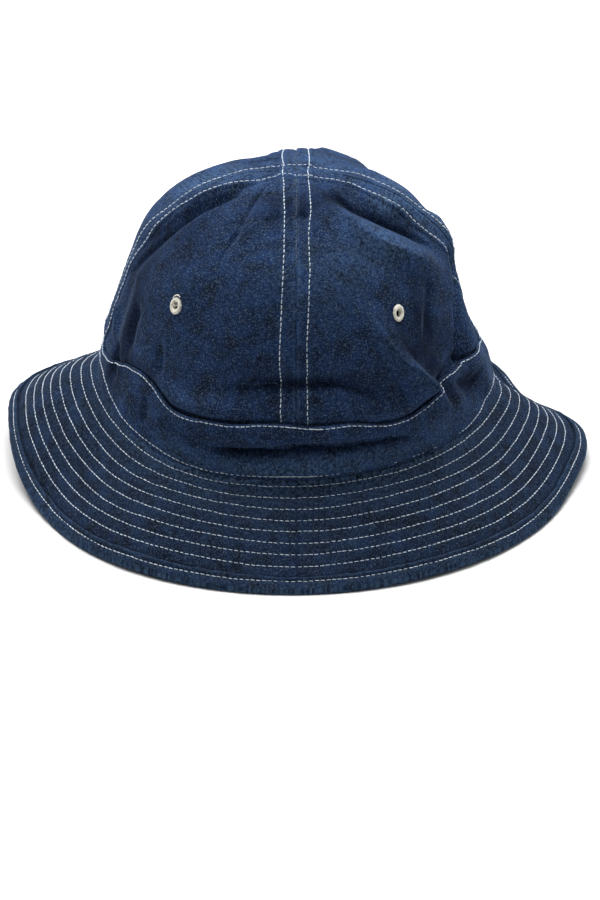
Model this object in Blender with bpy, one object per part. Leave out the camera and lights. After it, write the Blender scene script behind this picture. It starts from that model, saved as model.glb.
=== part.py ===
"""Soft denim fatigue hat: four crown panels, a lapped band, a two-ply brim with a bound edge,
and a worked eyelet in each panel. Metres, +Z up, the front of the hat towards -Y."""

import bpy
import numpy as np
from mathutils import Matrix, Vector
from math import cos, pi, radians, sin

# Driving sizes of the hat as it rests on a table
HEAD_HALF_WIDTH = 0.0975
HEAD_HALF_DEPTH = 0.0910
HEAD_LINE_HEIGHT = 0.0360
CROWN_RISE = 0.1225
BAND_HEIGHT = 0.0270
BRIM_WIDTH = 0.0610
BINDING_WIDTH = 0.0095
HEAD_SET_BACK = 0.0028

# Cloth walls and the clearances between pieces
PANEL_CLOTH = 0.0015
BAND_CLOTH = 0.0013
BRIM_PLY = 0.0010
BINDING_CLOTH = 0.0010
BINDING_TURN = 0.0014
CLEARANCE = 0.0003
BAND_LAP = 0.0005

# Eyelets: thread worked round a hole, over the cloth, through it and under it
EYELET_OUTER_RADIUS = 0.0042
EYELET_INNER_RADIUS = 0.0037
EYELET_HOLE_RADIUS = 0.0020
EYELET_THREAD = 0.0008
EYELET_SEAT = 0.0005
EYELET_CLIMB = 0.0740
EYELET_AZIMUTHS = {"front_right": 35.5, "back_right": 140.0, "back_left": 220.0, "front_left": 317.0}

# How the crown is rounded, one row for each direction: squareness is the exponent of its
# upright section, fullness the swell at half height as a share of the head's half width.
CROWN_ROUNDING = (
    # azimuth, squareness, fullness
    (0.0, 2.30, 0.000),
    (90.0, 2.36, -0.074),
    (180.0, 2.70, 0.000),
    (270.0, 2.44, -0.077),
)
CROWN_LEAN = 0.0110

# The brim's section, one row for each direction: root_rise and rim_lift are shares of
# HEAD_LINE_HEIGHT, root_swell of HEAD_HALF_WIDTH.
BRIM_SECTIONS = (
    # azimuth, root_rise, rim_lift, root_swell
    (0.0, 0.91, 0.00, 0.025),
    (30.0, 0.99, 0.03, 0.030),
    (60.0, 1.05, 0.00, 0.012),
    (90.0, 1.07, 0.15, 0.022),
    (120.0, 0.78, 0.04, -0.085),
    (150.0, 0.92, 0.02, -0.060),
    (180.0, 1.08, 0.00, 0.010),
    (210.0, 1.13, 0.03, -0.020),
    (240.0, 1.12, 0.26, 0.060),
    (270.0, 1.31, 0.38, 0.020),
    (300.0, 1.08, 0.03, 0.012),
    (330.0, 0.90, 0.02, 0.030),
)
BRIM_ROLL = 32.0
BRIM_CLOTH = 2 * BRIM_PLY + 2 * CLEARANCE + BINDING_CLOTH
RIM_CLOTH_HEIGHT = 0.25 * BRIM_CLOTH

# Folds and swells of the crown and band, one row for each. Azimuth and tilt are degrees,
# climb is a share of the way up the cloth, and length, width and depth are shares of
# HEAD_HALF_WIDTH. Depth points inward, so a swell's is negative.
FOLDS = (
    # name, azimuth, climb, length, width, tilt, depth
    ("valley under the left seam", -67.0, 0.68, 0.40, 0.070, 66.0, 0.036),
    ("crease beside the top", -33.0, 0.73, 0.16, 0.055, 95.0, 0.012),
    ("swell round the left eyelet", -44.0, 0.50, 0.26, 0.160, 20.0, -0.018),
    ("hollow under the right seam", 58.0, 0.67, 0.26, 0.100, -46.0, 0.046),
    ("ridge under the right hollow", 46.0, 0.61, 0.32, 0.075, -44.0, -0.030),
    ("crease across the front", -5.0, 0.27, 0.36, 0.055, 6.0, 0.026),
    ("swell over the buckle", -2.0, 0.16, 0.52, 0.055, 0.0, -0.022),
    ("buckle in the band", -2.0, 0.10, 0.46, 0.048, 0.0, 0.028),
    ("fold over the right of the band", 36.0, 0.30, 0.32, 0.065, -56.0, -0.034),
    ("hollow behind the fold", 55.0, 0.24, 0.20, 0.085, -32.0, 0.044),
    ("hollow in the right of the band", 65.0, 0.08, 0.14, 0.058, -20.0, 0.030),
    ("dent at the right side", 90.0, 0.35, 0.20, 0.110, 80.0, 0.070),
    ("dent at the left side", -76.0, 0.26, 0.22, 0.070, 80.0, 0.020),
)
FOLD_FADE = 12
CLIMB_LENGTH = CROWN_RISE + 0.5 * HEAD_HALF_WIDTH

# How finely the pieces are faceted
PANEL_COLUMNS = 13
PANEL_ROWS = 18
BAND_ROWS = 7
TUCKED_ROWS = 2
BRIM_ROWS = 4
EYELET_SIDES = 12
HOLE_TWIST = 0.3
SLOPE_STEP = 0.001
RISE_STEPS = (pi / 2) * np.linspace(0, 1, 201)


def column(table, number):
    """One column of a table."""
    return np.array([row[number] for row in table])


def lap(values, azimuth):
    """Smooth closed curve through values spaced evenly round the hat, read at an azimuth."""
    place = np.asarray(azimuth) / (2 * pi) * len(values)
    first = np.floor(place).astype(int)
    part = place - first
    before, start, end, after = (values[(first + step) % len(values)] for step in (-1, 0, 1, 2))
    bend = (2 * before - 5 * start + 4 * end - after) * part**2
    turn = (3 * start - before - 3 * end + after) * part**3
    return 0.5 * (2 * start + (end - before) * part + bend + turn)


def head_line(azimuth):
    """Level place and outward direction of the head opening's edge."""
    outward = np.stack([np.sin(azimuth) / HEAD_HALF_WIDTH, -np.cos(azimuth) / HEAD_HALF_DEPTH], -1)
    outward /= np.linalg.norm(outward, axis=-1, keepdims=True)
    swell = HEAD_HALF_WIDTH * lap(column(BRIM_SECTIONS, 3), azimuth)
    edge = np.stack([HEAD_HALF_WIDTH * np.sin(azimuth), -HEAD_HALF_DEPTH * np.cos(azimuth)], -1)
    return edge + swell[..., None] * outward, outward


def head_height(azimuth):
    """Height of the band's lower edge."""
    return HEAD_LINE_HEIGHT * lap(column(BRIM_SECTIONS, 1), azimuth)


def crown_form(azimuth, rise):
    """Crown without its folds. Rise is 0 at the head line and a quarter turn at the top."""
    squareness = lap(column(CROWN_ROUNDING, 1), azimuth)
    fullness = lap(column(CROWN_ROUNDING, 2), azimuth)
    inward = np.clip(np.cos(rise), 0, 1) ** (2 / squareness)
    upward = np.clip(np.sin(rise), 0, 1) ** (2 / squareness)
    level = inward * (1 + fullness * np.sin(pi * upward))
    edge, _ = head_line(azimuth)
    low = head_height(azimuth)
    along = HEAD_SET_BACK + edge[..., 1] * level - CROWN_LEAN * upward**1.5
    return np.stack([edge[..., 0] * level, along, low + (HEAD_LINE_HEIGHT + CROWN_RISE - low) * upward], -1)


def climbs(azimuth):
    """Length climbed along the cloth at each of RISE_STEPS, one row for each azimuth."""
    path = crown_form(azimuth[:, None], RISE_STEPS[None, :])
    pieces = np.linalg.norm(np.diff(path, axis=1), axis=-1)
    return np.concatenate([np.zeros((len(azimuth), 1)), np.cumsum(pieces, axis=1)], axis=1)


def smooth_crown(azimuth, share):
    """Crown without its folds at shares of the climb, one row of shares for each azimuth."""
    climbed = climbs(azimuth)
    rise = [np.interp(row * reach[-1], reach, RISE_STEPS) for row, reach in zip(share, climbed)]
    return crown_form(azimuth[:, None], np.array(rise))


def fold_depth(azimuth, share):
    """How far the folds press the cloth inward. They fade out where the seams cross at the top."""
    total = 0.0
    for _, centre, climb, length, width, tilt, depth in FOLDS:
        turn = (azimuth - radians(centre) + pi) % (2 * pi) - pi
        across = turn * HEAD_HALF_WIDTH * cos(pi / 2 * climb) ** 0.5
        up = (share - climb) * CLIMB_LENGTH
        along = across * cos(radians(tilt)) + up * sin(radians(tilt))
        aside = up * cos(radians(tilt)) - across * sin(radians(tilt))
        reach = np.exp(-((along / (length * HEAD_HALF_WIDTH)) ** 4))
        total = total + depth * HEAD_HALF_WIDTH * reach * np.exp(-((aside / (width * HEAD_HALF_WIDTH)) ** 2))
    return total * (1 - share**FOLD_FADE)


def outward_normals(sheet, azimuth, share):
    """Outward normals of a sheet, which is a function of azimuth and share."""
    ahead = sheet(azimuth + SLOPE_STEP, share) - sheet(azimuth - SLOPE_STEP, share)
    higher, lower = np.clip(share + SLOPE_STEP, 0, 1), np.clip(share - SLOPE_STEP, 0, 1)
    normal = np.cross(ahead, sheet(azimuth, higher) - sheet(azimuth, lower))
    size = np.linalg.norm(normal, axis=-1, keepdims=True)
    top = share[..., None] >= 1
    return np.where(top, np.array([0.0, 0.0, 1.0]), normal / np.where(top, 1.0, size))


def folded_crown(azimuth, share):
    """Crown's cloth with its folds."""
    pressed = fold_depth(azimuth[:, None], share)[..., None]
    return smooth_crown(azimuth, share) - pressed * outward_normals(smooth_crown, azimuth, share)


def crown_sheet(azimuth, share, lifts):
    """The cloth raised by each of the lifts along its normals."""
    cloth = folded_crown(azimuth, share)
    normal = outward_normals(folded_crown, azimuth, share)
    return [cloth + lift * normal for lift in lifts]


def brim_sheet(azimuth, out, lift):
    """Brim at distances out from the head line, raised by lift along its normals."""
    edge, outward = head_line(azimuth)
    root = head_height(azimuth) - CLEARANCE
    rim = HEAD_LINE_HEIGHT * np.maximum(lap(column(BRIM_SECTIONS, 2), azimuth), 0) + RIM_CLOTH_HEIGHT
    roll = radians(BRIM_ROLL)
    chord = BRIM_WIDTH * sin(roll / 2) / (roll / 2)
    droop = np.arcsin((root - rim) / chord)[:, None]
    first = droop - roll / 2
    here = first + roll * out / BRIM_WIDTH
    reach = BRIM_WIDTH / roll * (np.sin(here) - np.sin(first)) + lift * np.sin(here)
    drop = BRIM_WIDTH / roll * (np.cos(first) - np.cos(here)) - lift * np.cos(here)
    level = (0, HEAD_SET_BACK) + edge[:, None, :] + reach[..., None] * outward[:, None, :]
    height = np.maximum(root[:, None] - drop, 0)
    return np.concatenate([level, height[..., None]], -1)


def solid_from_loops(name, loops, closed, material):
    """Solid swept through section loops, its ends capped unless it closes on itself.

    Every facet's diagonal starts at its lower, outer corner, so that nested walls stay parallel.
    """
    corners = {}
    points = []

    def corner(place):
        key = tuple(np.round(place, 7))
        if key not in corners:
            corners[key] = len(points)
            points.append([float(value) for value in place])
        return corners[key]

    count = len(loops)
    width = len(loops[0])
    rings = [[corner(place) for place in loop] for loop in loops]
    spread = [[np.hypot(place[0], place[1]) - place[2] for place in loop] for loop in loops]
    faces = []
    for i in range(count if closed else count - 1):
        near, far = rings[i], rings[(i + 1) % count]
        for j in range(width):
            k = (j + 1) % width
            if spread[i][j] > spread[i][k]:
                faces += [[near[j], far[j], far[k]], [near[j], far[k], near[k]]]
            else:
                faces += [[near[j], far[j], near[k]], [far[j], far[k], near[k]]]
    if not closed:
        half = width // 2
        for ring, turned in ((rings[0], False), (rings[-1], True)):
            for j in range(half - 1):
                face = [ring[j], ring[j + 1], ring[width - 2 - j], ring[width - 1 - j]]
                faces.append(face[::-1] if turned else face)
    tidy = [list(dict.fromkeys(face)) for face in faces]
    mesh = bpy.data.meshes.new(name)
    mesh.from_pydata(points, [], [face for face in tidy if len(face) > 2])
    mesh.materials.append(material)
    mesh.validate()
    solid = bpy.data.objects.new(name, mesh)
    bpy.context.collection.objects.link(solid)
    return solid


def fabric(name, colour, roughness):
    """Plain cloth material."""
    material = bpy.data.materials.new(name)
    material.use_nodes = True
    shader = material.node_tree.nodes["Principled BSDF"]
    shader.inputs["Base Color"].default_value = (*colour, 1.0)
    shader.inputs["Roughness"].default_value = roughness
    shader.inputs["Metallic"].default_value = 0.0
    return material


def section_loops(sheets):
    """Closed section of a wall for each azimuth, from its outer and its inner sheet."""
    outer, inner = sheets
    return np.concatenate([outer, inner[:, ::-1]], axis=1)


def open_front(loops):
    """Parts the first and last sections of a ring by the clearance at the front seam."""
    loops[0, :, 0] += CLEARANCE / 2
    loops[-1, :, 0] -= CLEARANCE / 2
    return loops


def add_crown_panel(place, quarter, material):
    """One crown panel, tucked under the band, its seam edges drawn back by half the clearance."""
    azimuth = pi / 2 * (quarter + np.linspace(0, 1, PANEL_COLUMNS + 1))
    whole = climbs(azimuth)[:, -1:]
    tucked = BAND_HEIGHT * (1 - np.arange(TUCKED_ROWS, 0, -1) / BAND_ROWS) / whole
    shown = np.linspace(BAND_HEIGHT / whole[:, 0], 1, PANEL_ROWS + 1, axis=-1)
    loops = section_loops(crown_sheet(azimuth, np.concatenate([tucked, shown], axis=1), (0, -PANEL_CLOTH)))
    top = slice(loops.shape[1] // 2 - 1, loops.shape[1] // 2 + 1)
    for end, turn in ((0, azimuth[0]), (-1, azimuth[-1] + pi)):
        apart = CLEARANCE / 2 * np.array([cos(turn), sin(turn), 0])
        loops[end] += apart
        loops[:, top] += apart
        loops[end, top] -= apart
    return solid_from_loops("crown_panel_" + place, loops, False, material)


def add_band(azimuth, material):
    """The band, lapped over the crown's lower edge, with its joint at the front."""
    share = np.linspace(0, BAND_HEIGHT / climbs(azimuth)[:, -1], BAND_ROWS + 1, axis=-1)
    loops = section_loops(crown_sheet(azimuth, share, (BAND_LAP + BAND_CLOTH, BAND_LAP)))
    return solid_from_loops("band", open_front(loops), False, material)


def add_brim_ply(name, azimuth, top, material):
    """One ply of the brim, with its top at a lift below the brim's upper face."""
    bound = np.linspace(BRIM_WIDTH - BINDING_WIDTH, BRIM_WIDTH, 3)
    bound[-1] -= BINDING_CLOTH + CLEARANCE
    out = np.concatenate([np.linspace(0, bound[0], BRIM_ROWS + 1)[:-1], bound])[::-1]
    sheets = [brim_sheet(azimuth, out, lift) for lift in (top, top - BRIM_PLY)]
    return solid_from_loops(name, open_front(section_loops(sheets)), False, material)


def add_binding(azimuth, material):
    """The strip folded round the brim's edge, pressed flat where it rests."""
    top = CLEARANCE + BINDING_CLOTH
    bottom = -BRIM_CLOTH
    start = BRIM_WIDTH - BINDING_WIDTH
    middle = BRIM_WIDTH - BINDING_WIDTH / 2
    crease = BRIM_WIDTH - BINDING_CLOTH
    turn = BRIM_WIDTH - BINDING_TURN
    section = (
        # out, lift
        (BRIM_WIDTH, top - BINDING_TURN),
        (turn, top),
        (middle, top),
        (start, top),
        (start, top - BINDING_CLOTH),
        (middle, top - BINDING_CLOTH),
        (crease, top - BINDING_CLOTH),
        (crease, bottom + BINDING_CLOTH),
        (middle, bottom + BINDING_CLOTH),
        (start, bottom + BINDING_CLOTH),
        (start, bottom),
        (middle, bottom),
        (turn, bottom),
        (BRIM_WIDTH, bottom + BINDING_TURN),
    )
    rows = [brim_sheet(azimuth, np.array([out]), lift) for out, lift in section]
    return solid_from_loops("brim_binding", np.concatenate(rows, axis=1), True, material)


def eyelet_frame(azimuth):
    """Matrix with its origin on the cloth at an eyelet and its Z outward."""
    turns = np.array([azimuth])
    share = EYELET_CLIMB / climbs(turns)[:, -1:]
    place = Vector(folded_crown(turns, share)[0, 0])
    outward = Vector(outward_normals(folded_crown, turns, share)[0, 0])
    frame = outward.to_track_quat("Z", "Y").to_matrix().to_4x4()
    return Matrix.Translation(place) @ frame


def add_eyelet(place, frame, material):
    """An eyelet: a flange of thread over the cloth, one under it and thread through the hole."""
    over = EYELET_SEAT + EYELET_THREAD
    under = -PANEL_CLOTH - over
    worn = EYELET_THREAD / 3
    barrel = EYELET_HOLE_RADIUS + EYELET_THREAD
    profile = (
        # radius, height
        (EYELET_OUTER_RADIUS, EYELET_SEAT),
        (EYELET_OUTER_RADIUS - worn, over),
        (EYELET_HOLE_RADIUS + worn, over),
        (EYELET_HOLE_RADIUS, over - worn),
        (EYELET_HOLE_RADIUS, under + worn),
        (EYELET_HOLE_RADIUS + worn, under),
        (EYELET_INNER_RADIUS - worn, under),
        (EYELET_INNER_RADIUS, under + EYELET_THREAD),
        (barrel, under + EYELET_THREAD),
        (barrel, EYELET_SEAT),
    )
    turns = [2 * pi * step / EYELET_SIDES for step in range(EYELET_SIDES)]
    loops = [[(r * cos(turn), r * sin(turn), h) for r, h in profile] for turn in turns]
    solid = solid_from_loops("eyelet_" + place, loops, True, material)
    solid.matrix_world = frame
    return solid


def cut_eyelet_hole(panel, place, frame):
    """Cuts the hole that the eyelet's thread passes through."""
    radius = EYELET_HOLE_RADIUS + EYELET_THREAD + CLEARANCE
    depth = 3 * (PANEL_CLOTH + EYELET_SEAT + EYELET_THREAD)
    turns = [2 * pi * (step + HOLE_TWIST) / EYELET_SIDES for step in range(EYELET_SIDES)]
    loops = [[(radius * cos(turn), radius * sin(turn), end * depth) for turn in turns] for end in (-1, 1)]
    points = loops[0] + loops[1]
    around = [(step, (step + 1) % EYELET_SIDES) for step in range(EYELET_SIDES)]
    faces = [[near, far, far + EYELET_SIDES, near + EYELET_SIDES] for near, far in around]
    faces += [list(range(EYELET_SIDES))[::-1], list(range(EYELET_SIDES, 2 * EYELET_SIDES))]
    mesh = bpy.data.meshes.new("hole_" + place)
    mesh.from_pydata(points, [], faces)
    cutter = bpy.data.objects.new("hole_" + place, mesh)
    bpy.context.collection.objects.link(cutter)
    cutter.matrix_world = frame
    cutter.hide_render = True
    cutter.display_type = "WIRE"
    cut = panel.modifiers.new("eyelet hole", "BOOLEAN")
    cut.operation = "DIFFERENCE"
    cut.object = cutter


def main():
    for old in list(bpy.data.objects):
        bpy.data.objects.remove(old, do_unlink=True)
    denim = fabric("denim", (0.017, 0.033, 0.078), 0.92)
    thread = fabric("thread", (0.72, 0.68, 0.58), 0.85)

    for quarter, place in enumerate(("front_right", "back_right", "back_left", "front_left")):
        panel = add_crown_panel(place, quarter, denim)
        frame = eyelet_frame(radians(EYELET_AZIMUTHS[place]))
        cut_eyelet_hole(panel, place, frame)
        add_eyelet(place, frame, thread)

    around = 2 * pi * np.linspace(0, 1, 4 * PANEL_COLUMNS + 1)
    add_band(around, denim)
    add_brim_ply("brim_upper", around, 0.0, denim)
    add_brim_ply("brim_under", around, -BRIM_PLY - CLEARANCE, denim)
    add_binding(around[:-1], denim)


main()
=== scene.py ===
"""Soft denim fatigue hat: panelled crown, lapped band, stitched brim and worked eyelets."""

from math import cos, pi, radians, sin

import bpy
import numpy as np
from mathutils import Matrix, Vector


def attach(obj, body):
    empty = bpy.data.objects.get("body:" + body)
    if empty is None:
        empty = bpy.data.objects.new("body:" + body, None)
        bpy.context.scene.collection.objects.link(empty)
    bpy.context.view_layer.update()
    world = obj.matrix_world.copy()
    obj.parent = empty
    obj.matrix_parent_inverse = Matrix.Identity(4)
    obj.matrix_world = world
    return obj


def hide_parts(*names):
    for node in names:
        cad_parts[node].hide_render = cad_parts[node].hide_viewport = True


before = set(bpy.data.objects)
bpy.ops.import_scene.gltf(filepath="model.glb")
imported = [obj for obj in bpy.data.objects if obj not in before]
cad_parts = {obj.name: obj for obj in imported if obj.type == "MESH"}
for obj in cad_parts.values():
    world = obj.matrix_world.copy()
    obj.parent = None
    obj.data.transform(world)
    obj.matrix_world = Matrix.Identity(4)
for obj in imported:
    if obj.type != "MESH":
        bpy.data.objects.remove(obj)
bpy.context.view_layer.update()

MM = 0.001

# Sizes of the part, in metres
HEAD_HALF_WIDTH = 0.0975
HEAD_HALF_DEPTH = 0.0910
HEAD_LINE_HEIGHT = 0.0360
CROWN_RISE = 0.1225
BRIM_WIDTH = 0.0610
BINDING_WIDTH = 0.0084
HEAD_SET_BACK = 0.0028
PANEL_CLOTH = 0.0015
BAND_CLOTH = 0.0013
BRIM_PLY = 0.0010
BINDING_CLOTH = 0.0010
CLEARANCE = 0.0003
BAND_LAP = 0.0005
BRIM_CLOTH = 2 * BRIM_PLY + 2 * CLEARANCE + BINDING_CLOTH
RIM_CLOTH_HEIGHT = 0.25 * BRIM_CLOTH
# Eyelets by panel. Azimuth and lean are degrees, climb is millimetres.
EYELETS = {
    # azimuth, climb, how far its top leans to the right, and its breadth beside its height
    "front_right": (34.7, 73.2, 20.0, 0.78),
    "back_right": (140.0, 74.0, 0.0, 0.90),
    "back_left": (220.0, 74.0, 0.0, 0.90),
    "front_left": (317.6, 75.6, 0.0, 0.90),
}

# Roundness of the crown round the hat: a squareness of 2 is an ellipse
CROWN_ROUNDING = (
    # azimuth, squareness, fullness
    (0.0, 2.30, 0.000),
    (90.0, 2.36, -0.074),
    (180.0, 2.70, 0.000),
    (270.0, 2.44, -0.077),
)
CROWN_LEAN = 0.0110

# The brim round the hat, as shares of the head line's height, and of the head's half width for
# the swell
BRIM_SECTIONS = (
    # azimuth, root_rise, rim_lift, root_swell
    (0.0, 0.91, 0.00, 0.025),
    (30.0, 0.99, 0.03, 0.030),
    (60.0, 1.05, 0.00, 0.012),
    (90.0, 1.07, 0.15, 0.022),
    (120.0, 0.78, 0.04, -0.085),
    (150.0, 0.92, 0.02, -0.060),
    (180.0, 1.08, 0.00, 0.010),
    (210.0, 1.13, 0.03, -0.020),
    (240.0, 1.12, 0.26, 0.060),
    (270.0, 1.31, 0.38, 0.020),
    (300.0, 1.08, 0.03, 0.012),
    (330.0, 0.90, 0.02, 0.030),
)

# Folds of the crown and band. Azimuth and tilt are degrees, climb is a share of the way up the
# cloth, and the rest are shares of the head's half width. A fold has a width on each side.
FOLDS = (
    # azimuth, climb, length, width below, width above, tilt, depth
    (-67.0, 0.68, 0.40, 0.085, 0.055, 66.0, 0.036),
    (-33.0, 0.73, 0.16, 0.055, 0.055, 95.0, 0.012),
    (-44.0, 0.50, 0.26, 0.160, 0.160, 20.0, -0.018),
    (58.0, 0.67, 0.26, 0.100, 0.085, -46.0, 0.046),
    (46.0, 0.61, 0.32, 0.085, 0.060, -44.0, -0.030),
    (-5.0, 0.27, 0.36, 0.050, 0.060, 6.0, 0.026),
    (-2.0, 0.16, 0.52, 0.055, 0.055, 0.0, -0.022),
    (-2.0, 0.10, 0.46, 0.052, 0.034, 0.0, 0.030),
    (36.0, 0.30, 0.32, 0.075, 0.050, -56.0, -0.034),
    (55.0, 0.24, 0.20, 0.085, 0.085, -32.0, 0.044),
    (65.0, 0.08, 0.14, 0.058, 0.058, -20.0, 0.030),
    (90.0, 0.35, 0.20, 0.110, 0.110, 80.0, 0.070),
    (-76.0, 0.26, 0.22, 0.070, 0.070, 80.0, 0.020),
)
# Folds die out towards the top of the crown, by this power of the climb
FOLD_FADE = 12
CLIMB_LENGTH = CROWN_RISE + 0.5 * HEAD_HALF_WIDTH

# Creases and rolls, finer than the folds. Depth is inward, and it and the widths are millimetres.
# Each runs through places given by azimuth in degrees and climb in millimetres.
WRINKLES = (
    # depth, width right of its path, width left of its path, places
    (2.6, 2.2, 4.6, ((-33, 150), (-50, 142.5), (-59, 134), (-65, 119), (-69, 101), (-73, 85), (-78, 68),
                     (-83, 53))),
    (-1.0, 2.5, 2.5, ((-67, 138), (-72, 126), (-73, 112), (-76, 98), (-81, 84))),
    (2.0, 1.3, 1.5, ((-28, 158), (-35, 150), (-33, 141), (-31, 132), (-30, 120), (-31, 110), (-31, 85))),
    (-1.0, 4.0, 4.0, ((-22, 141), (-24, 128), (-25, 116))),
    (-0.9, 4.0, 4.0, ((-39, 134), (-39, 120), (-40, 106))),
    (2.6, 3.5, 3.0, ((-1, 132), (4, 131), (9, 129))),
    (1.6, 4.0, 4.0, ((-18, 129), (-13, 129), (-8, 131))),
    (3.0, 12.0, 12.0, ((-112, 142), (-102, 128), (-96, 114), (-92, 100), (-90, 86))),
    (1.0, 2.0, 2.0, ((-116, 150), (-130, 154), (-146, 157), (-162, 161))),
    (2.4, 3.5, 4.5, ((-63, 64), (-64, 50), (-64, 30))),
    (-1.6, 4.0, 4.0, ((-84, 46), (-77, 28))),
    (3.8, 4.0, 3.6, ((-73, 34), (-71, 24), (-69, 13))),
    (1.8, 3.5, 2.0, ((-46, 58), (-45, 48), (-44, 36))),
    (3.4, 1.8, 6.5, ((-27, 44), (-18, 46), (-10, 48), (1, 48.5), (12, 46), (22, 38), (27, 29))),
    (-1.1, 2.6, 2.6, ((-24, 40), (-10, 43.5), (2, 44), (14, 41))),
    (1.5, 1.6, 3.0, ((-49, 26), (-48, 20), (-48, 9))),
    (1.3, 3.2, 1.6, ((-42, 19), (-36, 17.2), (-30, 15.2), (-24, 13.2))),
    (5.8, 2.0, 1.3, ((-29, 15.2), (-22, 13.2), (-14, 13.4), (-6, 15), (1, 17), (8, 15.8), (14, 14.4))),
    (4.6, 1.8, 1.3, ((5, 15), (12, 14.4), (19, 15.2), (25, 14.7), (30, 13.4), (37, 11.4))),
    (-2.6, 2.2, 5.0, ((-40, 22), (-24, 18), (-10, 19), (2, 21.5), (16, 19.5), (28, 18), (40, 15))),
    (3.6, 3.8, 2.0, ((26, 147), (32, 140), (40, 131), (50, 124), (58, 115), (64, 105), (67, 95), (68, 85))),
    (-2.6, 8.0, 3.2, ((22, 142), (27, 129), (31, 118), (36, 109), (42, 102), (51, 94), (62, 84))),
    (2.4, 3.5, 3.5, ((54, 84), (52, 76), (47, 65), (41, 50))),
    (-1.1, 3.0, 3.0, ((45, 80), (43, 68), (40, 58))),
    (-3.2, 6.0, 2.2, ((23, 86), (24, 73), (27, 62.5), (32, 50), (36, 45), (40, 37), (44, 30), (52, 12))),
    (3.6, 2.0, 6.0, ((30, 72), (34, 57), (38, 48), (42, 40), (47, 31), (50, 21), (54, 10))),
    (2.4, 3.2, 3.2, ((43, 38), (52, 37), (60, 37), (70, 36))),
    (3.8, 3.4, 3.4, ((52, 30), (59, 23), (66, 20), (76, 21))),
    (1.6, 1.2, 3.2, ((31, 44), (30, 34), (30, 24))),
    (8.0, 2.0, 8.0, ((80, 96), (77, 84), (75, 75), (70, 66), (65, 57), (63, 47), (63, 36), (66, 24))),
    (-3.0, 7.4, 7.4, ((92, 110), (87, 97), (82, 85), (79, 72))),
    (5.5, 12.0, 12.0, ((107, 90), (104, 64), (101, 40))),
    (3.5, 8.0, 10.0, ((86, 72), (82, 60), (80, 46), (80, 34), (84, 20))),
    (4.6, 12.0, 12.0, ((84, 50), (92, 38), (100, 22), (104, 8))),
    (-1.4, 8.0, 8.0, ((114, 152), (107, 136), (102, 122), (98, 106))),
    (-3.0, 11.0, 11.0, ((174, 134), (158, 128), (140, 116))),
    (2.4, 3.0, 6.0, ((134, 104), (140, 94), (148, 80), (152, 66))),
    (2.4, 4.0, 2.0, ((152, 56), (166, 47), (182, 45), (198, 52))),
    (-1.4, 3.0, 4.0, ((150, 46), (166, 38), (182, 37), (196, 42))),
    (3.6, 11.0, 11.0, ((188, 136), (206, 128), (226, 116), (240, 104))),
    (2.8, 5.0, 2.4, ((212, 112), (222, 96), (228, 80), (226, 62))),
    (3.2, 2.6, 2.2, ((150, 14), (166, 12), (184, 13.5), (200, 11))),
    (-1.4, 3.0, 3.5, ((146, 20), (166, 19), (186, 20), (204, 18))),
    (2.4, 3.0, 4.0, ((246, 92), (252, 66), (250, 40))),
    (2.2, 3.0, 3.0, ((112, 74), (116, 52), (114, 32))),
)

# Steepness of a wrinkle's walls, and the share of its length over which each end dies out
WRINKLE_POWER = 1.7
WRINKLE_TAPER = 0.3
# Wrinkles are reckoned within this turn of their middle place
WRINKLE_VIEW = radians(75)
# Least distance from the crown's middle, in millimetres, at which turns are measured
SMALLEST_REACH = 12.0
# Creases no wider than this, in millimetres, get painted shade, growing from none at the first of these
# depths to full at the second
SHADED_WIDTH = 7.0
SHADED_DEPTHS = (0.6 * MM, 5.0 * MM)

# Soft patches of painted shade, or with a minus painted light, on the colour of the crown and band.
# Azimuth is degrees, and lengths are millimetres.
PAINTED_SHADINGS = (
    # azimuth, climb, half width, half height, amount
    (-68, 54, 12, 28, 0.95), (-73, 86, 9, 16, 0.7), (-62, 112, 14, 20, 0.5),
    (-46, 112, 10, 16, 0.22), (-100, 126, 12, 26, -0.45), (180, 160, 60, 10, -0.2),
    (-50, 150, 9, 4, -0.35), (-66, 136, 8, 8, -0.35), (-77, 76, 7, 18, 0.6),
    (-56, 88, 22, 36, 0.22), (-140, 156, 16, 5, 0.6), (-69, 26, 8, 12, 1.6), (-63, 36, 10, 6, 0.9),
    (-76, 13, 9, 8, 0.9), (-50, 16, 6, 8, 0.5), (-47, 42, 5, 10, 0.35), (-50, 98, 14, 26, 0.18),
    (-20, 60, 12, 20, 0.14), (0, 137, 20, 14, 1.1), (38, 104, 24, 15, -0.22),
    (12, 100, 24, 22, -0.16), (-4, 52, 16, 20, 0.36), (24, 40, 16, 8, 0.45), (33, 62, 6, 14, 1),
    (27, 70, 6, 12, 0.4), (35, 139, 7, 5, 0.7), (44, 44, 9, 14, 0.85), (58, 52, 10, 18, 0.3),
    (63, 21, 10, 6, 1.3), (45, 66, 8, 20, 1.1), (52, 24, 5, 8, 0.6), (66, 124, 6, 7, -0.45),
    (75, 110, 6, 10, -0.35), (86, 96, 6, 14, -0.4), (-34, 30, 14, 7, -0.14), (0, 6, 50, 6, -0.5),
    (-38, 9, 12, 6, -0.16), (46, 11, 14, 7, -0.22), (84, 52, 12, 22, -0.55),
    (100, 118, 12, 26, -0.45),
)

# How far in front of the hat's middle the seam from side to side runs, in millimetres
SEAM_LEADS = (
    # share of the climb, right, left
    (0, 0, 0), (0.25, 3, 0), (0.4, 9.5, 2.4), (0.5, 11.5, 3), (0.6, 12, 3.8), (0.7, 10.8, 5.4),
    (0.82, 8.3, 4.8), (0.9, 5.8, 4.2), (1, 4, 4),
)
# Sine of the seam's largest turn from the hat's middle, and steps of the climb that ease its line
STEEPEST_SLIP = 0.26
SEAM_EASING = 40

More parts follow.
